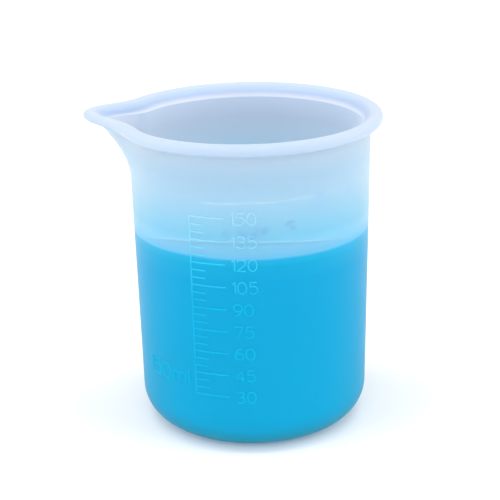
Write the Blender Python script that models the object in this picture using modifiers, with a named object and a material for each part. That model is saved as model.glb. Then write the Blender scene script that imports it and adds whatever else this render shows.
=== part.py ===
"""A 150 ml silicone resin-mixing beaker with a pouring spout, part filled with dyed resin.

The beaker is one moulding: base, wall, rolled lip, spout and raised measuring scale. The resin is a
separate body that stands in it. Units are metres, +Z is up, and the origin is the middle of the
underside. The spout points along -X and the scale faces -Y.
"""

import math

import bmesh
import bpy
from mathutils import Vector

MM = 0.001

# Beaker body
HEIGHT = 82.5 * MM
WALL = 1.8 * MM
BASE = 3.0 * MM
CORNER = 9.1 * MM  # outer radius of the bottom corner
FLOOR_CORNER = 7.0 * MM  # inner radius of the bottom corner
RADIUS_LOW = 29.75 * MM  # outer wall where the bottom corner starts
RADIUS_TOP = 31.05 * MM  # outer wall just under the lip

# Lip
LIP_RADIUS = 34.15 * MM
LIP_THICKNESS = 2.95 * MM
LIP_FILLET = 0.5 * MM
MOUTH_FLARE = 3.4 * MM  # radius of the bell mouth inside the lip

# Spout, drawn out of the wall and the lip towards -X
SPOUT_REACH = 7.0 * MM
SPOUT_FOOT = 67.0 * MM  # height where the wall starts to lean out
SPOUT_HALF_ANGLE = math.radians(21.0)  # where the spout's flank crosses the round lip
SPOUT_SPREAD = math.radians(17.3)
SPOUT_LEAN = 1.85  # power by which the wall leans out with height
RIM_DRAW = 1.2 * MM  # how far the spout pulls the whole near side of the rim
TIP_LIFT = 1.1 * MM
TIP_THINNING = 0.65 * MM
TIP_SPREAD = math.radians(22.0)

# Raised scale
MARK_STEP_ML = 5
MARK_FIRST_ML = 30
MARK_LAST_ML = 150
LONG_MARK_EVERY = 3
MARK_FIRST_Z = 16.0 * MM
MARK_PITCH = 1.97 * MM
SCALE_ANGLE = math.radians(-29.5)
LONG_MARK = 9.0 * MM
SHORT_MARK = 3.8 * MM
MARK_WIDTH = 0.36 * MM
MARK_SINK = 0.05 * MM  # how far a mark's centre line lies under the wall's surface
NUMERAL_HEIGHT = 3.0 * MM
NUMERAL_OFFSET = 10.8 * MM  # from the scale's line to the numerals' left edge
CAPACITY_ANGLE = math.radians(-62.0)
CAPACITY_Z = 17.6 * MM
CAPACITY_HEIGHT = 4.3 * MM
CAPACITY_WIDTH = 0.44 * MM
LETTER_GAP = 0.2  # of a numeral's height

# Resin
LEVEL = 52.9 * MM
FILL_GAP = 0.3 * MM

# Facets
TURN_STEPS = 80
ARC_STEPS = 6
FLARE_STEPS = 4
FILLET_STEPS = 2
LEAN_STEPS = 4  # rows of the wall that lean out under the spout
WALL_STEPS = 2  # rows of the plain wall below them
ZERO_STEPS = 12
BOWL_STEPS = 9  # round the bowl of a 6 or a 9
ARCH_STEPS = 5  # over an arch of an m
LONG_MARK_STEPS = 5
SHORT_MARK_STEPS = 2
SHARP = math.radians(40)
MERGE = 1e-6


# Outlines


def arc(centre, radius, start, end, steps=ARC_STEPS):
    """Points on an arc, or on part of an ellipse when radius is a pair; angles in degrees."""
    across, up = radius if isinstance(radius, tuple) else (radius, radius)
    angles = [math.radians(start + (end - start) * i / steps) for i in range(steps + 1)]
    return [(centre[0] + across * math.cos(a), centre[1] + up * math.sin(a)) for a in angles]


def spaced(start, end, steps):
    """Points between two points, both left out."""
    shares = [i / steps for i in range(1, steps)]
    return [(start[0] + (end[0] - start[0]) * t, start[1] + (end[1] - start[1]) * t) for t in shares]


def wall_radius(z):
    """Outer radius of the tapered wall at a height."""
    lip_underside = HEIGHT - LIP_THICKNESS
    return RADIUS_LOW + (RADIUS_TOP - RADIUS_LOW) * (z - CORNER) / (lip_underside - CORNER)


def inner_corner(gap):
    """Arc of the bottom's inner corner, standing off the beaker by gap."""
    height = BASE + FLOOR_CORNER
    centre = (wall_radius(height) - WALL - FLOOR_CORNER, height)
    return arc(centre, FLOOR_CORNER - gap, -90, 0)


def beaker_profile():
    """Section of the beaker: up the inside from the floor's middle, then down the outside."""
    flare_z = HEIGHT - MOUTH_FLARE
    bead = LIP_THICKNESS / 2
    inner_top = (wall_radius(flare_z) - WALL, flare_z)
    inner_foot = (wall_radius(SPOUT_FOOT) - WALL, SPOUT_FOOT)
    outer_foot = (wall_radius(SPOUT_FOOT), SPOUT_FOOT)
    under_lip = HEIGHT - LIP_THICKNESS - LIP_FILLET
    low = (RADIUS_LOW, CORNER)
    floor = inner_corner(0)

    points = [(0, BASE)] + floor
    points += [inner_foot] + spaced(inner_foot, inner_top, LEAN_STEPS)
    points += arc((inner_top[0] + MOUTH_FLARE, flare_z), MOUTH_FLARE, 180, 90, FLARE_STEPS)
    points += arc((LIP_RADIUS - bead, HEIGHT - bead), bead, 90, -90)
    points += arc((RADIUS_TOP + LIP_FILLET, under_lip), LIP_FILLET, 90, 180, FILLET_STEPS)
    points += spaced((RADIUS_TOP, under_lip), outer_foot, LEAN_STEPS) + [outer_foot]
    points += spaced(outer_foot, low, WALL_STEPS)
    points += arc((RADIUS_LOW - CORNER, CORNER), CORNER, 0, -90)
    return points + [(0, 0)]


def resin_profile():
    """Section of the resin, from the middle of its surface to the middle of its underside."""
    top = (wall_radius(LEVEL) - WALL - FILL_GAP, LEVEL)
    return [(0, LEVEL), top] + inner_corner(FILL_GAP)[::-1] + [(0, BASE + FILL_GAP)]


# Spout


def spout_plan(angle):
    """How far the rim is drawn outwards, by the angle from the spout's middle."""
    near_side = (1 + math.cos(angle)) / 2
    flanks = 1 - (angle / SPOUT_HALF_ANGLE) ** 2
    return RIM_DRAW * near_side + SPOUT_REACH * flanks * math.exp(-((angle / SPOUT_SPREAD) ** 2))


def drawn_out(point):
    """Where the spout's drawing moves a point of the round beaker."""
    rise = (point.z - SPOUT_FOOT) / (HEIGHT - LIP_THICKNESS - SPOUT_FOOT)
    share = min(max(rise, 0), 1) ** SPOUT_LEAN
    radius = math.hypot(point.x, point.y)
    if share == 0 or radius == 0:
        return point
    angle = math.atan2(point.y, -point.x)
    below_crest = min((HEIGHT - point.z) / LIP_THICKNESS, 1)
    lift = (TIP_LIFT + TIP_THINNING * below_crest) * math.exp(-((angle / TIP_SPREAD) ** 2))
    scale = 1 + share * spout_plan(angle) / radius
    return Vector((point.x * scale, point.y * scale, point.z + share * lift))


# Raised strokes. A glyph is drawn in a cell one unit high.


def glyph(character):
    """A character's advance width and its strokes; a stroke that ends where it starts is a ring."""
    glyphs = {
        "0": (0.72, [arc((0.36, 0.5), (0.36, 0.5), 90, 450, ZERO_STEPS)]),
        "1": (0.2, [[(0, 0.8), (0.2, 1), (0.2, 0)]]),
        "2": (0.7, [arc((0.35, 0.7), (0.34, 0.3), 165, -35) + [(0, 0), (0.7, 0)]]),
        "3": (
            0.7,
            [
                arc((0.33, 0.76), (0.31, 0.24), 150, -90)
                + arc((0.33, 0.26), (0.37, 0.26), 90, -150)[1:]
            ],
        ),
        "4": (0.72, [[(0.54, 0), (0.54, 1), (0, 0.3), (0.72, 0.3)]]),
        "5": (0.7, [[(0.64, 1), (0.12, 1), (0.06, 0.56)] + arc((0.34, 0.33), (0.36, 0.33), 115, -145)]),
        "6": (
            0.7,
            [
                arc((0.35, 0.31), (0.35, 0.31), 180, -180, BOWL_STEPS),
                arc((0.62, 0.31), (0.62, 0.69), 180, 96),
            ],
        ),
        "7": (0.7, [[(0, 1), (0.7, 1), (0.26, 0)]]),
        "9": (
            0.7,
            [
                arc((0.35, 0.69), (0.35, 0.31), 0, 360, BOWL_STEPS),
                arc((0.08, 0.69), (0.62, 0.69), 0, -84),
            ],
        ),
        "m": (
            1.0,
            [[(0, 0), (0, 0.7)]]
            + [
                arc((left + 0.25, 0.46), (0.25, 0.24), 180, 0, ARCH_STEPS) + [(left + 0.5, 0)]
                for left in (0, 0.5)
            ],
        ),
        "l": (0.1, [[(0.05, 0), (0.05, 1)]]),
    }
    return glyphs[character]


def lettering(text, left, bottom, height):
    """Strokes of a line of text, in metres along and up the wall."""
    strokes = []
    for character in text:
        width, lines = glyph(character)
        strokes += [[(left + x * height, bottom + y * height) for x, y in line] for line in lines]
        left += (width + LETTER_GAP) * height
    return strokes


def scale_strokes():
    """The scale's upright line, its marks and their numerals, along and up the wall."""
    count = (MARK_LAST_ML - MARK_FIRST_ML) // MARK_STEP_ML
    strokes = [[(0, MARK_FIRST_Z), (0, MARK_FIRST_Z + count * MARK_PITCH)]]
    for i in range(count + 1):
        z = MARK_FIRST_Z + i * MARK_PITCH
        is_long = i % LONG_MARK_EVERY == 0
        length = LONG_MARK if is_long else SHORT_MARK
        steps = LONG_MARK_STEPS if is_long else SHORT_MARK_STEPS
        strokes.append([(0, z)] + spaced((0, z), (length, z), steps) + [(length, z)])
        if is_long:
            number = str(MARK_FIRST_ML + i * MARK_STEP_ML)
            strokes += lettering(number, NUMERAL_OFFSET, z - NUMERAL_HEIGHT / 2, NUMERAL_HEIGHT)
    return strokes


def on_wall(along, z, start_angle):
    """The point on the wall at a distance round it from an angle, 0 at -Y and growing towards +X."""
    radius = wall_radius(z) - MARK_SINK
    angle = start_angle + along / radius
    return Vector((radius * math.sin(angle), -radius * math.cos(angle), z))


# Objects


def collection(name):
    made = bpy.data.collections.new(name)
    bpy.context.scene.collection.children.link(made)
    return made


def material(name, colour, roughness, metallic=0.0, alpha=1.0):
    made = bpy.data.materials.new(name)
    made.use_nodes = True
    shader = made.node_tree.nodes["Principled BSDF"]
    shader.inputs["Base Color"].default_value = (*colour, 1)
    shader.inputs["Roughness"].default_value = roughness
    shader.inputs["Metallic"].default_value = metallic
    shader.inputs["Alpha"].default_value = alpha
    return made


def evaluated_copy(source, name, home):
    """A mesh object of what the source's modifiers or curve make; the source is removed."""
    graph = bpy.context.evaluated_depsgraph_get()
    mesh = bpy.data.meshes.new_from_object(source.evaluated_get(graph))
    made = bpy.data.objects.new(name, mesh)
    made.matrix_world = source.matrix_world
    home.objects.link(made)
    bpy.data.objects.remove(source)
    return made


def turned(name, profile, home):
    """A solid turned about Z from a section that runs down its outer side."""
    mesh = bpy.data.meshes.new(name)
    edges = [(i, i + 1) for i in range(len(profile) - 1)]
    mesh.from_pydata([(r, 0, z) for r, z in profile], edges, [])
    made = bpy.data.objects.new(name + "_section", mesh)
    home.objects.link(made)
    screw = made.modifiers.new("Turn", "SCREW")
    screw.steps = TURN_STEPS
    screw.render_steps = TURN_STEPS
    screw.use_merge_vertices = True
    screw.merge_threshold = MERGE
    return evaluated_copy(made, name, home)


def raised(name, strokes, start_angle, width, home):
    """Round raised lines on the wall, one tube to each stroke."""
    curve = bpy.data.curves.new(name, "CURVE")
    curve.dimensions = "3D"
    curve.bevel_depth = width / 2
    curve.bevel_resolution = 0
    curve.use_fill_caps = True
    for stroke in strokes:
        points = [on_wall(along, z, start_angle) for along, z in stroke]
        is_ring = (points[0] - points[-1]).length < MERGE
        if is_ring:
            points.pop()
        spline = curve.splines.new("POLY")
        spline.points.add(len(points) - 1)
        for spot, point in zip(spline.points, points):
            spot.co = (*point, 1)
        spline.use_cyclic_u = is_ring
    made = bpy.data.objects.new(name + "_lines", curve)
    home.objects.link(made)
    made = evaluated_copy(made, name, home)
    work = bmesh.new()
    work.from_mesh(made.data)
    bmesh.ops.remove_doubles(work, verts=work.verts, dist=MERGE)
    bmesh.ops.recalc_face_normals(work, faces=work.faces)
    work.to_mesh(made.data)
    work.free()
    made.hide_render = True
    made.display_type = "WIRE"
    return made


def join(target, tool):
    boolean = target.modifiers.new("Join " + tool.name, "BOOLEAN")
    boolean.operation = "UNION"
    boolean.solver = "EXACT"
    boolean.use_self = True
    boolean.object = tool


def make_beaker(parts, tools):
    beaker = turned("beaker", beaker_profile(), parts)
    for vertex in beaker.data.vertices:
        vertex.co = drawn_out(vertex.co)
    beaker.data.shade_smooth()
    beaker.data.set_sharp_from_angle(angle=SHARP)
    capacity = lettering(f"{MARK_LAST_ML}ml", 0, CAPACITY_Z, CAPACITY_HEIGHT)
    join(beaker, raised("scale", scale_strokes(), SCALE_ANGLE, MARK_WIDTH, tools))
    join(beaker, raised("capacity_mark", capacity, CAPACITY_ANGLE, CAPACITY_WIDTH, tools))
    beaker.data.materials.append(material("translucent silicone", (0.80, 0.90, 0.97), 0.45, alpha=0.6))


def make_resin(parts):
    resin = turned("resin_fill", resin_profile(), parts)
    resin.data.shade_smooth()
    resin.data.set_sharp_from_angle(angle=SHARP)
    resin.data.materials.append(material("blue dyed resin", (0.0, 0.42, 0.75), 0.15))


def main():
    for thing in list(bpy.data.objects):
        bpy.data.objects.remove(thing)
    parts = collection("resin_beaker")
    tools = collection("raised_marks")
    tools.hide_render = True
    make_beaker(parts, tools)
    make_resin(parts)


main()
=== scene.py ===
"""A 150 ml silicone mixing beaker with blue dyed resin standing in it.

The beaker is one moulding with a rolled lip, a drawn spout and a raised millilitre scale. Metres,
+Z up, the origin in the middle of the underside, the spout along -X and the scale towards -Y.
"""

import math
import random

import bmesh
import bpy
from mathutils import Matrix, Vector


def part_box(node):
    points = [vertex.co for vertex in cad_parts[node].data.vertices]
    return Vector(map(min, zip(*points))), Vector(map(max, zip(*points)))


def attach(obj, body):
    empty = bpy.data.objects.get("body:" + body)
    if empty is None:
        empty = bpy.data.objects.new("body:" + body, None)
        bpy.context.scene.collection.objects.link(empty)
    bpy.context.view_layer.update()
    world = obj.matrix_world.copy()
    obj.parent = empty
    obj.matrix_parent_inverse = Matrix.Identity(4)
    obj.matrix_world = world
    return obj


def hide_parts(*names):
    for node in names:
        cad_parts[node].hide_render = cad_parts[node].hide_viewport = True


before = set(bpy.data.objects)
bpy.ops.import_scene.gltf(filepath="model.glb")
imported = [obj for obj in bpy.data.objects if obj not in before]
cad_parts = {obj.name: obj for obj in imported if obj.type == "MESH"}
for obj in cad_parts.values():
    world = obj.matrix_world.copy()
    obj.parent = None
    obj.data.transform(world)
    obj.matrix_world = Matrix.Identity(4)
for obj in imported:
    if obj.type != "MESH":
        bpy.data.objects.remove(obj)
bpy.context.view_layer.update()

bl_info = {
    "name": "Resin mixing beaker",
    "version": (1, 0, 0),
    "blender": (4, 5, 0),
    "location": "View3D > Sidebar > Resin beaker",
    "description": "Makes a silicone mixing beaker, the dyed resin in it and a plain studio stage",
    "category": "Add Mesh",
}

MM = 0.001
BEAKER_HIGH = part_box("beaker")[1]
RESIN_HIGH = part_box("resin_fill")[1]
MERGE = 1e-6  # distance within which two vertices are one

# What the CAD boxes leave open
HEIGHT = 82.5 * MM  # of the round rim, away from the spout
SPOUT_HALF_ANGLE = math.radians(21.0)
SPOUT_SPREAD = math.radians(17.3)
SPOUT_LEAN = 1.85
TIP_SPREAD = math.radians(22.0)
TIP_THINNING = 0.65 * MM
RIM_DRAW = 1.2 * MM
LIP_FILLET = 0.5 * MM

# Steps round the beaker and along the arcs of a section, and the rows of its straight runs
TURN_STEPS = 240
FLARE_STEPS = 12
LIP_STEPS = 20
FILLET_STEPS = 5
CORNER_STEPS = 16
FLOOR_STEPS = 12
MENISCUS_STEPS = 8
ROW = 2.0 * MM
FLAT_ROW = 5.0 * MM
STROKE_ROW = 0.8 * MM
TUBE_SMOOTHNESS = 2
SHARP = math.radians(32)

# Places of the beaker's finishes in its list, and the inward share of an inner face's normal
OUTER, INNER, FLARE, LIP, LINES = range(5)
INWARD = 0.1

# Scales of the materials' patterns, in patches to the metre, and the silicone's fine grain
DRIFT_SCALE = 60.0
SWIRL_SCALE = 45.0
THICKNESS_SCALE = 160.0
MOTTLE_SCALE = 12.0
GRAIN_SCALE = 1 / (0.6 * MM)
GRAIN_STRENGTH = 0.12
GRAIN_DEPTH = 0.05 * MM
RESIN_IOR = 1.5

# Tint of the silicone by height in millimetres, tuned to the look under this stage's light and so
# holding painted light, and how far it wanders up and down
DRIFT = 0.5 * MM
# Outer wall: the resin's blue is painted in below the level as painted light through the wall, then
# a painted glow fades out a few millimetres above it, and the wall is a pale blue white higher up
OUTER_TINTS_PAINTED_GLOW = [
    (20.0, "#00BADC"),
    (47.0, "#00BADF"),
    (51.0, "#02C0E0"),
    (52.7, "#27CAE9"),
    (53.2, "#95DCF8"),
    (56.5, "#A4E0F6"),
    (58.5, "#9BDAEF"),
    (63.0, "#B3E2F4"),
    (68.0, "#C7EAFC"),
    (73.0, "#C7E9FC"),
    (78.0, "#DCF0FC"),
]
# Flare: a painted highlight band at 79.4 to 80 mm, with the inner face's grey painted shade at its
# foot
FLARE_TINTS_PAINTED_HIGHLIGHT = [
    (78.9, "#AAB5CB"),
    (79.4, "#F4EEF8"),
    (80.0, "#E4E4F2"),
    (80.8, "#BCCEE8"),
    (82.4, "#BCCEE8"),
]
# Thick lip: a little lighter towards its top, as painted light of the lit top
LIP_TINTS_PAINTED_LIGHT = [
    (78.0, "#B4CEE8"),
    (80.5, "#C0D4EA"),
    (82.4, "#C4D2E8"),
]
# Raised lines: the resin's painted blue below the level, a painted glint band from 46 to 52 mm over
# the 105 to 125 ml marks, pale higher up
LINE_TINTS_PAINTED_GLINT_AND_GLOW = [
    (20.0, "#04C0E4"),
    (42.0, "#04C2E6"),
    (46.0, "#2ACCF0"),
    (52.0, "#3AD0F2"),
    (54.0, "#80D4F2"),
    (60.0, "#9CDAF0"),
    (78.0, "#DCEEF6"),
]
# Inner face: a painted blue glow of the resin near the level, then painted shade of the hollow,
# grey blue, up to the flare
INNER_TINTS_PAINTED_SHADE_AND_GLOW = [
    (50.0, "#88DCF8"),
    (58.0, "#A8DAF0"),
    (68.0, "#B7C1CF"),
    (74.0, "#B3B7C8"),
    (79.0, "#BAC2D5"),
]

# Share of the milky sheen by height: the wall against the resin shows its painted blue instead
SHEEN = [(30.0, 0.0), (46.0, 0.1), (53.0, 0.4), (58.0, 0.8), (66.0, 1.0)]

# Drops on the inner wall: degrees round it, height, length and width in millimetres, and slant
DROPS = [
    (-13.1, 58.9, 1.4, 1.0, 10),
    (-16.0, 67.6, 1.1, 0.5, 0),
    (-7.0, 59.9, 0.7, 0.5, 0),
    (-4.3, 59.1, 2.0, 1.1, -5),
    (-3.0, 59.5, 1.1, 0.7, 20),
    (1.1, 58.6, 2.3, 1.2, 35),
    (2.8, 60.1, 1.5, 0.7, 80),
    (6.4, 59.8, 2.6, 1.1, 60),
    (18.1, 61.2, 2.5, 0.7, 25),
    (19.6, 61.6, 1.3, 0.5, 10),
    (20.0, 59.8, 1.1, 1.1, 0),
    (32.9, 67.3, 1.4, 0.5, 20),
    (36.2, 67.5, 2.8, 1.0, 35),
    (46.0, 67.3, 1.1, 0.5, 40),
    (54.3, 67.5, 1.5, 1.0, 60),
    (56.2, 66.1, 1.1, 0.5, 80),
    (62.8, 62.7, 3.0, 0.7, 85),
]

# The small drops between them: the share in the upper field, then degrees round the wall and
# heights of each field, a drop's length in millimetres, and its width as a share of that
SEED = 7
HIGH_SHARE = 0.3
LOW_ANGLES, LOW_HEIGHTS = (-18.0, 24.0), (58.0, 62.0)
HIGH_ANGLES, HIGH_HEIGHTS = (30.0, 62.0), (63.0, 68.5)
SMALL_LENGTHS = (0.2, 0.5)
SMALL_WIDTH = 0.7

# The worktop's half width and the strength of its own faint glow, as of a light table
FLOOR_REACH = 2.5
FLOOR_GLOW = 0.07

# What the camera looks at, its sensor's width in millimetres and how near and far it sees
CAMERA_TARGET = Vector((-0.505 * MM, 0, 44.9 * MM))
SENSOR_WIDTH = 36.0
CLIP_NEAR, CLIP_FAR = 0.01, 20.0


# Section lines and turned solids


def pen_line(work, tip, x, z, row=ROW):
    """Draws a straight run of a section from its tip, a row at a time, and returns the new tip."""
    start, end = tip.co.copy(), Vector((x, 0, z))
    rows = math.ceil((end - start).length / row)
    for i in range(1, rows + 1):
        tip = bmesh.ops.extrude_vert_indiv(work, verts=[tip])["verts"][0]
        tip.co = start.lerp(end, i / rows)
    return tip


def pen_arc(work, tip, x, z, turn, steps):
    """Draws an arc of a section round a centre, anticlockwise by turn degrees."""
    made = bmesh.ops.spin(
        work,
        geom=[tip],
        cent=(x, 0, z),
        axis=(0, -1, 0),
        angle=math.radians(turn),
        steps=steps,
        use_merge=False,
        use_duplicate=False,
    )
    return next(g for g in made["geom_last"] if isinstance(g, bmesh.types.BMVert))


def turn_section(work):
    """Turns a section that starts and ends on the Z axis into a closed solid."""
    bmesh.ops.spin(
        work,
        geom=work.verts[:] + work.edges[:],
        cent=(0, 0, 0),
        axis=(0, 0, 1),
        angle=math.tau,
        steps=TURN_STEPS,
        use_merge=True,
        use_duplicate=False,
    )
    bmesh.ops.remove_doubles(work, verts=work.verts, dist=MERGE)
    bmesh.ops.recalc_face_normals(work, faces=work.faces)


def finish_piece(work, name):
    """The bmesh as a smooth-shaded object whose real creases stay sharp."""
    mesh = bpy.data.meshes.new(name)
    work.to_mesh(mesh)
    work.free()
    made = bpy.data.objects.new(name, mesh)
    bpy.context.scene.collection.objects.link(made)
    mesh.shade_smooth()
    mesh.set_sharp_from_angle(angle=SHARP)
    return made


def hang(piece, node, finish):
    """Puts a piece on the frame, in place of a CAD node where one is named."""
    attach(piece, "root")
    if node:
        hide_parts(node)
    for material in finish:
        piece.data.materials.append(material)


# Shape of the wall, shared by every piece on it


def wall_radius(sizes, z):
    """Outer radius of the tapered wall at a height."""
    run = HEIGHT - sizes.lip_thickness - sizes.corner
    return sizes.radius_low + (sizes.radius_top - sizes.radius_low) * (z - sizes.corner) / run


def inner_radius(sizes, z):
    """Inner radius of the tapered wall at a height."""
    return wall_radius(sizes, z) - sizes.wall


def spout_plan(sizes, angle):
    """How far the rim is drawn outwards, by the angle from the spout's middle."""
    near_side = (1 + math.cos(angle)) / 2
    flanks = 1 - (angle / SPOUT_HALF_ANGLE) ** 2
    swell = math.exp(-((angle / SPOUT_SPREAD) ** 2))
    return RIM_DRAW * near_side + sizes.spout_reach * flanks * swell


def drawn_out(sizes, point):
    """Where drawing the spout moves a point of the round beaker."""
    rise = (point.z - sizes.spout_foot) / (HEIGHT - sizes.lip_thickness - sizes.spout_foot)
    share = min(max(rise, 0), 1) ** SPOUT_LEAN
    radius = math.hypot(point.x, point.y)
    if share == 0 or radius == 0:
        return point
    angle = math.atan2(point.y, -point.x)
    below_crest = min((HEIGHT - point.z) / sizes.lip_thickness, 1)
    lift = (sizes.tip_lift + TIP_THINNING * below_crest) * math.exp(-((angle / TIP_SPREAD) ** 2))
    scale = 1 + share * spout_plan(sizes, angle) / radius
    return Vector((point.x * scale, point.y * scale, point.z + share * lift))


def beaker_section(work, sizes):
    """Up the inside from the floor's middle, over the lip and down the outside."""
    lip_radius = BEAKER_HIGH.x
    bead = sizes.lip_thickness / 2
    bead_x = lip_radius - bead
    taper = (sizes.radius_top - sizes.radius_low) / (HEIGHT - sizes.lip_thickness - sizes.corner)
    low_inside = sizes.radius_low - sizes.wall
    flare = (bead_x - low_inside - taper * (HEIGHT - sizes.corner)) / (1 - taper)
    foot = sizes.base + sizes.floor_corner
    floor_x = inner_radius(sizes, foot) - sizes.floor_corner

    tip = work.verts.new((0, 0, sizes.base))
    tip = pen_line(work, tip, floor_x, sizes.base, FLAT_ROW)
    tip = pen_arc(work, tip, floor_x, foot, 90, FLOOR_STEPS)
    tip = pen_line(work, tip, bead_x - flare, HEIGHT - flare)
    tip = pen_arc(work, tip, bead_x, HEIGHT - flare, -90, FLARE_STEPS)
    tip = pen_arc(work, tip, bead_x, HEIGHT - bead, -180, LIP_STEPS)
    under = HEIGHT - sizes.lip_thickness
    tip = pen_line(work, tip, sizes.radius_top + LIP_FILLET, under)
    tip = pen_arc(work, tip, sizes.radius_top + LIP_FILLET, under - LIP_FILLET, 90, FILLET_STEPS)
    tip = pen_line(work, tip, sizes.radius_low, sizes.corner)
    tip = pen_arc(work, tip, sizes.radius_low - sizes.corner, sizes.corner, -90, CORNER_STEPS)
    pen_line(work, tip, 0, 0, FLAT_ROW)


# Raised strokes. A glyph is drawn in a cell one unit high.


def stroke_arc(centre, radius, start, end, steps=16):
    """Points on part of an ellipse; radius is a pair and the angles are in degrees."""
    (x, y), (across, up) = centre, radius
    angles = [math.radians(start + (end - start) * i / steps) for i in range(steps + 1)]
    return [(x + across * math.cos(a), y + up * math.sin(a)) for a in angles]


def glyph(character):
    """A character's advance width and its strokes; a stroke that ends where it starts is a ring."""
    glyphs = {
        "0": (0.72, [stroke_arc((0.36, 0.5), (0.36, 0.5), 90, 450, 28)]),
        "1": (0.2, [[(0, 0.8), (0.2, 1), (0.2, 0)]]),
        "2": (0.7, [stroke_arc((0.35, 0.7), (0.34, 0.3), 165, -35) + [(0, 0), (0.7, 0)]]),
        "3": (
            0.7,
            [
                stroke_arc((0.33, 0.76), (0.31, 0.24), 150, -90)
                + stroke_arc((0.33, 0.26), (0.37, 0.26), 90, -150)[1:]
            ],
        ),
        "4": (0.72, [[(0.54, 0), (0.54, 1), (0, 0.3), (0.72, 0.3)]]),
        "5": (
            0.7,
            [
                [(0.64, 1), (0.12, 1), (0.06, 0.56)]
                + stroke_arc((0.34, 0.33), (0.36, 0.33), 115, -145)
            ],
        ),
        "6": (
            0.7,
            [
                stroke_arc((0.35, 0.31), (0.35, 0.31), 180, -180, 24),
                stroke_arc((0.62, 0.31), (0.62, 0.69), 180, 96, 10),
            ],
        ),
        "7": (0.7, [[(0, 1), (0.7, 1), (0.26, 0)]]),
        "9": (
            0.7,
            [
                stroke_arc((0.35, 0.69), (0.35, 0.31), 0, 360, 24),
                stroke_arc((0.08, 0.69), (0.62, 0.69), 0, -84, 10),
            ],
        ),
        "m": (
            1.0,
            [[(0, 0), (0, 0.7)]]
            + [
                stroke_arc((left + 0.25, 0.46), (0.25, 0.24), 180, 0, 12) + [(left + 0.5, 0)]
                for left in (0, 0.5)
            ],
        ),
        "l": (0.1, [[(0.05, 0), (0.05, 1)]]),
    }
    return glyphs[character]


def lettering(text, left, bottom, height, gap):
    """Strokes of a line of text, in metres along and up the wall."""
    strokes = []
    for character in text:
        width, lines = glyph(character)
        strokes += [[(left + x * height, bottom + y * height) for x, y in line] for line in lines]
        left += (width + gap) * height
    return strokes


def scale_strokes(marks):
    """The scale's upright line, its marks and their numerals."""
    count = (marks.last_ml - marks.first_ml) // marks.step_ml
    strokes = [[(0, marks.first_z), (0, marks.first_z + count * marks.pitch)]]
    for i in range(count + 1):
        z = marks.first_z + i * marks.pitch
        is_long = i % marks.long_every == 0
        strokes.append([(0, z), (marks.long_mark if is_long else marks.short_mark, z)])
        if is_long:
            number = str(marks.first_ml + i * marks.step_ml)
            bottom = z - marks.numeral_height / 2
            strokes += lettering(
                number, marks.numeral_offset, bottom, marks.numeral_height, marks.letter_gap
            )
    return strokes


def section_side(sizes, face):
    """Which finish a face of the round beaker takes: outer or inner wall, flare or thick lip."""
    centre = face.calc_center_median()
    across = centre.to_2d().length
    is_lip = centre.z > HEIGHT - sizes.lip_thickness - LIP_FILLET
    if is_lip and across > sizes.radius_top:
        return LIP
    if face.normal.to_2d().dot(centre.to_2d()) > -across * INWARD:
        return OUTER
    return FLARE if is_lip else INNER


def in_short_steps(stroke):
    """The stroke with points added, so that it can follow the round wall."""
    points = [stroke[0]]
    for start, end in zip(stroke, stroke[1:]):
        count = max(1, math.ceil(math.dist(start, end) / STROKE_ROW))
        points += [
            tuple(a + (b - a) * i / count for a, b in zip(start, end)) for i in range(1, count + 1)
        ]
    return points


def on_wall(sizes, along, z, start_angle, sink):
    """The point at a distance round the wall from an angle, 0 at -Y and growing towards +X."""
    radius = wall_radius(sizes, z) - sink
    angle = start_angle + along / radius
    return Vector((radius * math.sin(angle), -radius * math.cos(angle), z))


def evaluated_mesh(source):
    """A new mesh of the object as its curve settings or modifiers leave it."""
    graph = bpy.context.evaluated_depsgraph_get()
    return bpy.data.meshes.new_from_object(source.evaluated_get(graph))


def raised_lines(name, strokes, place, width):
    """Round lines on the wall, one closed tube to each stroke."""
    curve = bpy.data.curves.new(name, "CURVE")
    curve.dimensions = "3D"
    curve.bevel_depth = width / 2
    curve.bevel_resolution = TUBE_SMOOTHNESS
    curve.use_fill_caps = True
    for stroke in strokes:
        points = [place(along, z) for along, z in in_short_steps(stroke)]
        is_ring = (points[0] - points[-1]).length < MERGE
        if is_ring:
            points.pop()
        spline = curve.splines.new("POLY")
        spline.points.add(len(points) - 1)
        for spot, point in zip(spline.points, points):
            spot.co = (*point, 1)
        spline.use_cyclic_u = is_ring
    drawn = bpy.data.objects.new(name + "_curve", curve)
    bpy.context.scene.collection.objects.link(drawn)
    mesh = evaluated_mesh(drawn)
    bpy.data.objects.remove(drawn)
    work = bmesh.new()
    work.from_mesh(mesh)
    bmesh.ops.remove_doubles(work, verts=work.verts, dist=MERGE)
    bmesh.ops.recalc_face_normals(work, faces=work.faces)
    work.to_mesh(mesh)
    work.free()
    made = bpy.data.objects.new(name, mesh)
    bpy.context.scene.collection.objects.link(made)
    return made


def joined(target, tools):
    """Unites the tools with the target's mesh and removes them."""
    for tool in tools:
        boolean = target.modifiers.new(tool.name, "BOOLEAN")
        boolean.operation = "UNION"
        boolean.solver = "EXACT"
        boolean.use_self = True
        boolean.object = tool
    mesh = evaluated_mesh(target)
    target.modifiers.clear()
    old = target.data
    target.data = mesh
    bpy.data.meshes.remove(old)
    for tool in tools:
        bpy.data.objects.remove(tool)
    mesh.shade_smooth()
    mesh.set_sharp_from_angle(angle=SHARP)


# Materials


def linear(code):
    """An sRGB hex colour as linear red, green and blue, and a full alpha."""
    channels = [int(code[i : i + 2], 16) / 255 for i in (1, 3, 5)]
    straight = [c / 12.92 if c <= 0.04045 else ((c + 0.055) / 1.055) ** 2.4 for c in channels]
    return (*straight, 1.0)


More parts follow.
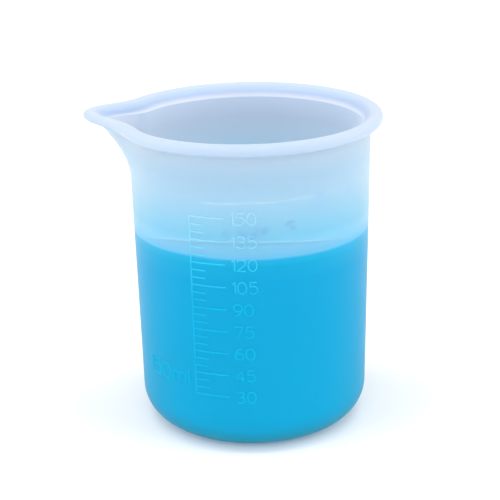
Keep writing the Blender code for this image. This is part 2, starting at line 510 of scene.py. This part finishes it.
def add_node(tree, kind, settings=None, **links):
    """Adds a node. Settings go to its properties, and links to its inputs, as sockets or values.

    An input is named, with _ for a space, or counted: i0 is the first.
    """
    node = tree.nodes.new(kind)
    for key, value in (settings or {}).items():
        setattr(node, key, value)
    for key, value in links.items():
        place = int(key[1:]) if key[1:].isdigit() else key.replace("_", " ")
        socket = node.inputs[place]
        if isinstance(value, bpy.types.NodeSocket):
            tree.links.new(value, socket)
        else:
            socket.default_value = value
    return node


def new_material(name):
    """An empty node material with its output, tree and object coordinates."""
    made = bpy.data.materials.new(name)
    made.use_nodes = True
    tree = made.node_tree
    tree.nodes.clear()
    output = add_node(tree, "ShaderNodeOutputMaterial")
    where = add_node(tree, "ShaderNodeTexCoord").outputs["Object"]
    return made, tree, output, where


def noise(tree, where, scale, detail, roughness=0.5, distortion=0.0):
    """A noise pattern's grey value."""
    return add_node(
        tree,
        "ShaderNodeTexNoise",
        Vector=where,
        Scale=scale,
        Detail=detail,
        Roughness=roughness,
        Distortion=distortion,
    ).outputs["Fac"]


def add_surface(tree, output, **links):
    """Adds the surface shader, with its own sockets set, and links it to the output."""
    shader = add_node(tree, "ShaderNodeBsdfPrincipled", **links)
    tree.links.new(shader.outputs["BSDF"], output.inputs["Surface"])


def ramp(tree, factor, stops):
    """A colour ramp through (place, colour) stops."""
    node = add_node(tree, "ShaderNodeValToRGB", i0=factor)
    while len(node.color_ramp.elements) < len(stops):
        node.color_ramp.elements.new(0.5)
    for element, (place, colour) in zip(node.color_ramp.elements, stops):
        element.position, element.color = place, colour
    return node.outputs["Color"]


def moulded_silicone(name, look, clarity, sheen, tints_and_painted_light):
    """Translucent silicone rubber, compression moulded in a satin tool.

    The eye gets a milky, frosted wall: shapes behind it are blurred and the empty part is a pale
    blue
    white. The tints hold painted light: where the wall stands against the resin, the resin's blue
    is painted into it, with a painted glow that fades out a few millimetres above the level; the
    inner face carries painted shade, the flare a painted highlight, the raised lines painted glints
    and the lip a lighter painted top.
    """
    made, tree, output, where = new_material(name)
    drift = noise(tree, where, DRIFT_SCALE, 2.0)
    height = add_node(tree, "ShaderNodeSeparateXYZ", Vector=where).outputs["Z"]
    sway = add_node(
        tree, "ShaderNodeMath", {"operation": "MULTIPLY_ADD"}, i0=drift, i1=DRIFT, i2=height
    )
    place = add_node(
        tree,
        "ShaderNodeMapRange",
        Value=sway.outputs["Value"],
        From_Min=DRIFT / 2,
        From_Max=DRIFT / 2 + HEIGHT,
    ).outputs["Result"]
    # The base colour by height, with the painted glow, shade, highlight and glints in it
    tint_and_painted_light = ramp(tree, place, [(z * MM / HEIGHT, linear(colour)) for z, colour in tints_and_painted_light])
    milk = ramp(tree, place, [(z * MM / HEIGHT, (share, share, share, 1)) for z, share in SHEEN])
    milky_edge = add_node(tree, "ShaderNodeMath", {"operation": "MULTIPLY"}, i0=milk, i1=sheen)
    grain = noise(tree, where, GRAIN_SCALE, 3.0, roughness=0.6)
    relief = add_node(
        tree, "ShaderNodeBump", Strength=GRAIN_STRENGTH, Distance=GRAIN_DEPTH, Height=grain
    )
    add_surface(
        tree,
        output,
        Base_Color=tint_and_painted_light,
        Roughness=look.silicone_roughness,
        IOR=look.silicone_ior,
        Specular_IOR_Level=look.silicone_gloss,
        Transmission_Weight=clarity,
        Sheen_Weight=milky_edge.outputs["Value"],
        Sheen_Roughness=0.5,
        Normal=relief.outputs["Normal"],
    )
    return made


def liquid_resin(name, look, roughness, specular):
    """Liquid epoxy resin with blue dye stirred in: an even, saturated blue with a wet gloss."""
    made, tree, output, where = new_material(name)
    swirl = noise(tree, where, SWIRL_SCALE, 3.0, distortion=0.6)
    dye = ramp(tree, swirl, [(0.35, linear(look.resin_deep)), (0.65, linear(look.resin_light))])
    add_surface(
        tree,
        output,
        Base_Color=dye,
        Roughness=roughness,
        IOR=RESIN_IOR,
        Specular_IOR_Level=specular,
    )
    return made


def drained_resin(name, tint_and_painted_light, clarity, roughness):
    """Dyed resin that ran off the rubber and left a thin layer, dried edge lines and beads.

    The eye gets a pale, uneven blue in the film, a painted white highlight on its raised edge
    lines, and blue beads.
    """
    made, tree, output, where = new_material(name)
    thickness = noise(tree, where, THICKNESS_SCALE, 2.0)
    colour = ramp(tree, thickness, [(0.3, linear(tint_and_painted_light[0])), (0.7, linear(tint_and_painted_light[1]))])
    add_surface(
        tree,
        output,
        Base_Color=colour,
        Roughness=roughness,
        IOR=RESIN_IOR,
        Transmission_Weight=clarity,
    )
    return made


def matt_board(look):
    """Pale matt board with a barely seen mottle, as the worktop."""
    made, tree, output, where = new_material("pale matt board")
    mottle = noise(tree, where, MOTTLE_SCALE, 2.0)
    tone = ramp(tree, mottle, [(0.3, linear("#EAEAEA")), (0.7, linear(look.floor_colour))])
    add_surface(
        tree,
        output,
        Base_Color=tone,
        Roughness=0.9,
        Specular_IOR_Level=0.1,
        Emission_Color=linear("#FFFFFF"),
        Emission_Strength=FLOOR_GLOW,
    )
    return made


# What a user would change


def length(name, description, millimetres):
    """A length, given in millimetres."""
    return bpy.props.FloatProperty(
        name=name, description=description, default=millimetres * MM, unit="LENGTH", precision=5
    )


def angle(name, description, degrees):
    """An angle, given in degrees."""
    return bpy.props.FloatProperty(
        name=name, description=description, default=math.radians(degrees), subtype="ANGLE"
    )


class BeakerSizes(bpy.types.PropertyGroup):
    """Sizes of the silicone moulding that the CAD boxes leave open"""

    wall: length("Wall", "Thickness of the wall", 1.8)
    base: length("Base", "Thickness of the bottom", 3.0)
    corner: length("Bottom corner", "Outer radius of the bottom corner", 9.1)
    floor_corner: length("Inner corner", "Inner radius of the bottom corner", 7.0)
    radius_low: length("Radius at the bottom", "Outer radius above the bottom corner", 29.75)
    radius_top: length("Radius under the lip", "Outer radius just under the lip", 31.05)
    lip_thickness: length("Lip thickness", "Height of the rolled lip's bead", 2.95)
    spout_reach: length("Spout reach", "How far the spout is drawn out of the lip", 7.0)
    spout_foot: length("Spout foot", "Height where the wall starts to lean out", 67.0)
    tip_lift: length("Tip lift", "How far the spout's tip stands above the rim", 1.1)


class MarkSizes(bpy.types.PropertyGroup):
    """Sizes and places of the raised measuring marks"""

    step_ml: bpy.props.IntProperty(
        name="Step", description="Millilitres from mark to mark", default=5
    )
    first_ml: bpy.props.IntProperty(name="First mark", description="Millilitres at it", default=30)
    last_ml: bpy.props.IntProperty(name="Last mark", description="Millilitres at it", default=150)
    long_every: bpy.props.IntProperty(
        name="Long mark every", description="Marks from one long mark to the next", default=3
    )
    first_z: length("First mark's height", "Height of the first mark above the worktop", 16.0)
    pitch: length("Pitch", "Height from mark to mark", 1.97)
    long_mark: length("Long mark", "Length of a numbered mark", 9.0)
    short_mark: length("Short mark", "Length of a plain mark", 3.8)
    width: length("Line width", "Width of the scale's raised lines", 0.36)
    sink: length("Line sink", "How far a line's middle lies under the wall's surface", 0.03)
    numeral_height: length("Numeral height", "Height of the scale's numerals", 3.0)
    numeral_offset: length("Numeral offset", "From the upright line to the numerals", 10.8)
    letter_gap: bpy.props.FloatProperty(
        name="Letter gap",
        description="Gap between figures, as a share of their height",
        default=0.2,
    )
    scale_angle: angle("Scale angle", "The upright line's place round the wall, 0 in front", -29.5)
    capacity_angle: angle("Capacity angle", "The capacity mark's start round the wall", -62.0)
    capacity_z: length("Capacity height", "Height of the capacity mark above the worktop", 17.6)
    capacity_height: length("Capacity size", "Height of the capacity mark's figures", 4.3)
    capacity_width: length("Capacity line", "Width of the capacity mark's raised lines", 0.44)


def hex_colour(name, description, default):
    """A colour, given as an sRGB hex value."""
    return bpy.props.StringProperty(name=name, description=description, default=default)


class Finishes(bpy.types.PropertyGroup):
    """Colours, as sRGB hex values, and finishes"""

    silicone_roughness: bpy.props.FloatProperty(
        name="Silicone roughness", description="Roughness of the moulded skin", default=0.38
    )
    silicone_ior: bpy.props.FloatProperty(
        name="Silicone IOR", description="Index of refraction of the rubber", default=1.22
    )
    silicone_gloss: bpy.props.FloatProperty(
        name="Silicone gloss", description="Strength of the mirror-like part", default=0.2
    )
    sheen: bpy.props.FloatProperty(
        name="Sheen", description="Milky light at the edges of the empty wall", default=0.35
    )
    inner_sheen: bpy.props.FloatProperty(
        name="Inner sheen", description="The same for the inner face", default=1.0
    )
    silicone_clarity: bpy.props.FloatProperty(
        name="Silicone clarity",
        description="Share of the light that goes through the milky wall",
        default=0.6,
    )
    inner_clarity: bpy.props.FloatProperty(
        name="Inner clarity",
        description="Share of the light that goes through the inner face",
        default=0.35,
    )
    lip_clarity: bpy.props.FloatProperty(
        name="Lip clarity",
        description="Share of the light that goes through the thick lip",
        default=0.3,
    )
    line_clarity: bpy.props.FloatProperty(
        name="Line clarity",
        description="Share of the light that goes through a raised line",
        default=0.3,
    )
    resin_deep: hex_colour("Resin, deep", "Dyed resin at its deepest", "#00CCF4")
    resin_light: hex_colour("Resin, light", "Dyed resin at its lightest", "#00D2F8")
    floor_colour: hex_colour("Worktop", "Colour of the pale worktop", "#EEEEEE")


class ResinSizes(bpy.types.PropertyGroup):
    """Sizes of the resin's contact with the wall"""

    contact: length("Contact", "How far the resin is drawn into the wall's face, to wet it", 0.05)
    meniscus: length("Meniscus", "How far the resin climbs the wall", 0.5)


class ResidueSizes(bpy.types.PropertyGroup):
    """Sizes of the film, edge lines and drops that the resin leaves on the inner wall"""

    film: length("Film", "Thickness of the film above the level", 0.08)
    film_sink: length("Film sink", "How far the film wets into the wall's face", 0.02)
    edge_height: length("Edge height", "Height of the film's edge at the beaker's sides", 50.26)
    edge_rise: length("Edge rise", "How much higher it runs where the beaker was tipped to", 6.79)
    edge_angle: angle("Edge angle", "Where round the wall the edge runs highest", -5.0)
    edge_reach: angle("Edge reach", "How far the edge line runs to each side of that", 62.0)
    line_width: length("Line width", "Width of the white edge lines", 0.4)
    ring_height: length("Ring height", "Height of the upper white line", 66.85)
    ring_rise: length("Ring rise", "How much that line climbs towards the beaker's side", 0.75)
    ring_from: angle("Ring from", "Where round the wall the upper line starts", -24.0)
    ring_to: angle("Ring to", "Where round the wall the upper line ends", 46.0)
    drop_depth: length("Drop depth", "Thickness of a drop, half of it in the wall's face", 0.9)
    small_drops: bpy.props.IntProperty(
        name="Small drops", description="Number of specks scattered among the drops", default=26
    )


class StageSettings(bpy.types.PropertyGroup):
    """Studio light and camera"""

    sky: bpy.props.FloatProperty(
        name="Surround", description="Brightness of the room", default=0.64
    )
    top: bpy.props.FloatProperty(
        name="Top lights", description="Strength of each light above a side", default=0.58
    )
    top_height: angle("Top height", "Height of the top lights above the horizon", 74.0)
    top_width: angle("Top softness", "How wide each top light looks", 28.0)
    side: bpy.props.FloatProperty(
        name="Softboxes", description="Strength of each softbox at a front corner", default=1.25
    )
    side_turn: angle("Softbox turn", "How far round from the front each softbox stands", 80.0)
    side_height: angle("Softbox height", "Height of the softboxes above the horizon", 30.0)
    side_width: angle("Softbox softness", "How wide each softbox looks", 60.0)
    front: bpy.props.FloatProperty(
        name="Front fill", description="Strength of the soft light from the front", default=0.9
    )
    front_height: angle("Fill height", "Height of the front fill above the horizon", 30.0)
    front_width: angle("Fill softness", "How wide the front fill looks", 50.0)
    lens: bpy.props.FloatProperty(
        name="Lens", description="Focal length in millimetres", default=108.0, subtype="NONE"
    )
    distance: length("Distance", "From the camera to the beaker's middle", 396.0)
    elevation: angle("Elevation", "Camera's height above the horizon", 19.63)
    roll: angle("Roll", "Camera's tilt", -1.2)


# Operators


class MouldBeaker(bpy.types.Operator):
    """Mould the silicone beaker with its lip, spout and raised scale"""

    bl_idname = "resin_beaker.mould"
    bl_label = "Mould the beaker"
    bl_options = {"REGISTER", "UNDO"}

    def execute(self, context):
        sizes, marks = context.scene.beaker_sizes, context.scene.beaker_marks
        look = context.scene.beaker_finishes
        finish = [
            moulded_silicone("translucent silicone, " + name, look, clarity, sheen, tints_and_painted_light)
            for name, clarity, sheen, tints_and_painted_light in (
                ("moulded satin with painted resin glow", look.silicone_clarity, look.sheen, OUTER_TINTS_PAINTED_GLOW),
                ("inner face", look.inner_clarity, look.inner_sheen, INNER_TINTS_PAINTED_SHADE_AND_GLOW),
                ("flare", look.lip_clarity, look.sheen, FLARE_TINTS_PAINTED_HIGHLIGHT),
                ("thick lip", look.lip_clarity, look.sheen, LIP_TINTS_PAINTED_LIGHT),
                ("raised line", look.line_clarity, 0.0, LINE_TINTS_PAINTED_GLINT_AND_GLOW),
            )
        ]
        work = bmesh.new()
        beaker_section(work, sizes)
        turn_section(work)
        for face in work.faces:
            face.material_index = section_side(sizes, face)
        for vertex in work.verts:
            vertex.co = drawn_out(sizes, vertex.co)
        beaker = finish_piece(work, "silicone_beaker")
        hang(beaker, "beaker", finish)

        def on_scale(along, z):
            return on_wall(sizes, along, z, marks.scale_angle, marks.sink)

        def on_capacity(along, z):
            return on_wall(sizes, along, z, marks.capacity_angle, marks.sink)

        capacity = lettering(
            f"{marks.last_ml}ml", 0, marks.capacity_z, marks.capacity_height, marks.letter_gap
        )
        lines = [
            raised_lines("scale", scale_strokes(marks), on_scale, marks.width),
            raised_lines("capacity", capacity, on_capacity, marks.capacity_width),
        ]
        for tool in lines:
            for material in finish:
                tool.data.materials.append(material)
            tool.data.polygons.foreach_set("material_index", [LINES] * len(tool.data.polygons))
        joined(beaker, lines)
        return {"FINISHED"}


class PourResin(bpy.types.Operator):
    """Pour the blue dyed resin up to its level, with the meniscus at the wall"""

    bl_idname = "resin_beaker.pour"
    bl_label = "Pour the resin"
    bl_options = {"REGISTER", "UNDO"}

    def execute(self, context):
        sizes, resin = context.scene.beaker_sizes, context.scene.beaker_resin
        look = context.scene.beaker_finishes
        level = RESIN_HIGH.z
        climb = level + resin.meniscus
        edge = inner_radius(sizes, climb) + resin.contact
        foot = sizes.base + sizes.floor_corner
        floor_x = inner_radius(sizes, foot) - sizes.floor_corner
        corner = sizes.floor_corner + resin.contact

        work = bmesh.new()
        tip = work.verts.new((0, 0, level))
        tip = pen_line(work, tip, edge - resin.meniscus, level)
        tip = pen_arc(work, tip, edge - resin.meniscus, climb, 90, MENISCUS_STEPS)
        tip = pen_line(work, tip, floor_x + corner, foot)
        tip = pen_arc(work, tip, floor_x, foot, -90, FLOOR_STEPS)
        pen_line(work, tip, 0, sizes.base - resin.contact, FLAT_ROW)
        turn_section(work)
        made = finish_piece(work, "resin")
        finish = [
            liquid_resin("dyed epoxy resin, open surface", look, 0.06, 0.5),
            liquid_resin("dyed epoxy resin, against silicone", look, 0.5, 0.05),
        ]
        hang(made, "resin_fill", finish)
        for face in made.data.polygons:
            is_open = face.center.z > level - MERGE
            face.material_index = 0 if is_open else 1
        return {"FINISHED"}


class LeaveResidue(bpy.types.Operator):
    """Leave the resin's thin film, its dried edge lines and a few drops on the inner wall"""

    bl_idname = "resin_beaker.residue"
    bl_label = "Leave the residue"
    bl_options = {"REGISTER", "UNDO"}

    def execute(self, context):
        sizes, left = context.scene.beaker_sizes, context.scene.beaker_residue
        low = RESIN_HIGH.z - left.line_width

        def edge(turned):
            return left.edge_height + left.edge_rise * math.cos(turned - left.edge_angle)

        def inside(turned, z, sink=0.0):
            radius = inner_radius(sizes, z) + sink
            return Vector((radius * math.sin(turned), -radius * math.cos(turned), z))

        # The film is a ring with a wedge for its section, made from radius 1 to 2 and laid on the
        # wall: it thickens from the foot, under the resin's surface, to the edge.
        ring_middle = 1.5
        work = bmesh.new()
        tip = start = work.verts.new((1, 0, 0))
        for x, z in ((1, 1), (0, 1), (0, 0)):
            tip = bmesh.ops.extrude_vert_indiv(work, verts=[tip])["verts"][0]
            tip.co = (1 + x, 0, z)
        work.edges.new((tip, start))
        turn_section(work)
        for vertex in work.verts:
            turned = math.atan2(vertex.co.x, -vertex.co.y)
            top = max(edge(turned), low + left.film)
            sink = left.film_sink if vertex.co.to_2d().length > ring_middle else -left.film
            vertex.co = inside(turned, low + (top - low) * vertex.co.z, sink)
        bmesh.ops.recalc_face_normals(work, faces=work.faces)
        film = finish_piece(work, "resin_film")
        drained = drained_resin("drained film of dyed epoxy", ("#98D4F4", "#A8DCF6"), 0.8, 0.3)
        hang(film, None, [drained])

        radius = inner_radius(sizes, RESIN_HIGH.z)
        reach, middle = left.edge_reach * radius, left.edge_angle * radius
        tide = raised_lines(
            "resin_tide_line",
            [[(middle - reach, 0), (middle + reach, 0)]],
            lambda along, z: inside(along / radius, edge(along / radius)),
            left.line_width,
        )
        ring = raised_lines(
            "resin_upper_line",
            [[(left.ring_from * radius, 0), (left.ring_to * radius, 0)]],
            lambda along, z: inside(
                along / radius, left.ring_height + left.ring_rise * math.sin(along / radius)
            ),
            left.line_width,
        )
        # The raised edge lines are resin; their white is a painted highlight
        edge_painted_highlight = drained_resin("edge lines of epoxy film, white as a painted highlight", ("#F4FCFF", "#FFFFFF"), 0.0, 0.3)
        for line in (tide, ring):
            line.data.shade_smooth()
            hang(line, None, [edge_painted_highlight])

        scatter = random.Random(SEED)
        drops = list(DROPS)
        for _ in range(left.small_drops):
            is_high = scatter.random() < HIGH_SHARE
            turned = scatter.uniform(*(HIGH_ANGLES if is_high else LOW_ANGLES))
            height = scatter.uniform(*(HIGH_HEIGHTS if is_high else LOW_HEIGHTS))
            size = scatter.uniform(*SMALL_LENGTHS)
            drops.append((turned, height, size, size * SMALL_WIDTH, scatter.uniform(0, 90)))
        work = bmesh.new()
        for turned, height, long, wide, slant in drops:
            turned = math.radians(turned)
            place = (
                Matrix.Translation(inside(turned, height * MM))
                @ Matrix.Rotation(turned, 4, "Z")
                @ Matrix.Rotation(-math.radians(slant), 4, "Y")
                @ Matrix.Diagonal((long * MM, left.drop_depth, wide * MM, 1))
            )
            bmesh.ops.create_icosphere(work, subdivisions=2, radius=0.5, matrix=place)
        made = finish_piece(work, "resin_drops")
        beads = drained_resin("beads of dyed epoxy", ("#068CE6", "#1898EC"), 0.0, 0.1)
        hang(made, None, [beads])
        return {"FINISHED"}


class SetStage(bpy.types.Operator):
    """Set the pale worktop, the soft studio lights and the camera"""

    bl_idname = "resin_beaker.stage"
    bl_label = "Set the stage"
    bl_options = {"REGISTER", "UNDO"}

    def execute(self, context):
        scene = context.scene
        settings = scene.beaker_stage
        work = bmesh.new()
        bmesh.ops.create_grid(work, x_segments=8, y_segments=8, size=FLOOR_REACH)
        floor = finish_piece(work, "worktop")
        floor.data.materials.append(matt_board(scene.beaker_finishes))

        world = bpy.data.worlds.new("soft white room")
        world.use_nodes = True
        background = world.node_tree.nodes["Background"]
        background.inputs["Color"].default_value = linear("#FFFFFF")
        background.inputs["Strength"].default_value = settings.sky
        scene.world = world

        top = (settings.top_height, settings.top_width, settings.top)
        side = (settings.side_height, settings.side_width, settings.side)
        front = (settings.front_height, settings.front_width, settings.front)
        lamps = [
            ("left top light", -math.pi / 2, top),
            ("right top light", math.pi / 2, top),
            ("left softbox", -settings.side_turn, side),
            ("right softbox", settings.side_turn, side),
            ("front fill", 0.0, front),
        ]
        for name, azimuth, (elevation, width, strength) in lamps:
            lamp = bpy.data.lights.new(name, "SUN")
            lamp.energy, lamp.angle = strength, width
            made = bpy.data.objects.new(name, lamp)
            scene.collection.objects.link(made)
            turn = Matrix.Rotation(azimuth, 4, "Z")
            made.matrix_world = turn @ Matrix.Rotation(math.pi / 2 - elevation, 4, "X")

        camera = bpy.data.objects.new("camera", bpy.data.cameras.new("camera"))
        scene.collection.objects.link(camera)
        scene.camera = camera
        camera.data.lens, camera.data.sensor_width = settings.lens, SENSOR_WIDTH
        camera.data.clip_start, camera.data.clip_end = CLIP_NEAR, CLIP_FAR
        away = settings.distance
        back, rise = math.cos(settings.elevation), math.sin(settings.elevation)
        place = Vector((0, -away * back, HEIGHT / 2 + away * rise))
        forward = (CAMERA_TARGET - place).normalized()
        right = forward.cross(Vector((0, 0, 1))).normalized()
        up = right.cross(forward)
        turn, lean = math.cos(settings.roll), math.sin(settings.roll)
        right, up = turn * right + lean * up, turn * up - lean * right
        camera.matrix_world = Matrix.Translation(place) @ Matrix(
            (right, up, -forward)
        ).transposed().to_4x4()
        scene.view_settings.view_transform = "Standard"
        return {"FINISHED"}


class BeakerPanel(bpy.types.Panel):
    """Sizes, finishes and the steps that make the beaker"""

    bl_idname = "VIEW3D_PT_resin_beaker"
    bl_label = "Resin beaker"
    bl_space_type = "VIEW_3D"
    bl_region_type = "UI"
    bl_category = "Resin beaker"

    def draw(self, context):
        for step in STEPS:
            self.layout.operator(step.bl_idname)
        for attribute, group in GROUPS.items():
            box = self.layout.box()
            box.label(text=group.__doc__)
            for key in group.__annotations__:
                box.prop(getattr(context.scene, attribute), key)


GROUPS = {
    "beaker_sizes": BeakerSizes,
    "beaker_marks": MarkSizes,
    "beaker_resin": ResinSizes,
    "beaker_residue": ResidueSizes,
    "beaker_finishes": Finishes,
    "beaker_stage": StageSettings,
}
STEPS = (MouldBeaker, PourResin, LeaveResidue, SetStage)


def register():
    for made in (*GROUPS.values(), *STEPS, BeakerPanel):
        bpy.utils.register_class(made)
    for attribute, group in GROUPS.items():
        setattr(bpy.types.Scene, attribute, bpy.props.PointerProperty(type=group))


def unregister():
    for attribute in GROUPS:
        delattr(bpy.types.Scene, attribute)
    for made in (BeakerPanel, *STEPS, *GROUPS.values()):
        bpy.utils.unregister_class(made)


def main():
    register()
    bpy.ops.resin_beaker.mould()
    bpy.ops.resin_beaker.pour()
    bpy.ops.resin_beaker.residue()
    bpy.ops.resin_beaker.stage()


if __name__ == "__main__":
    main()
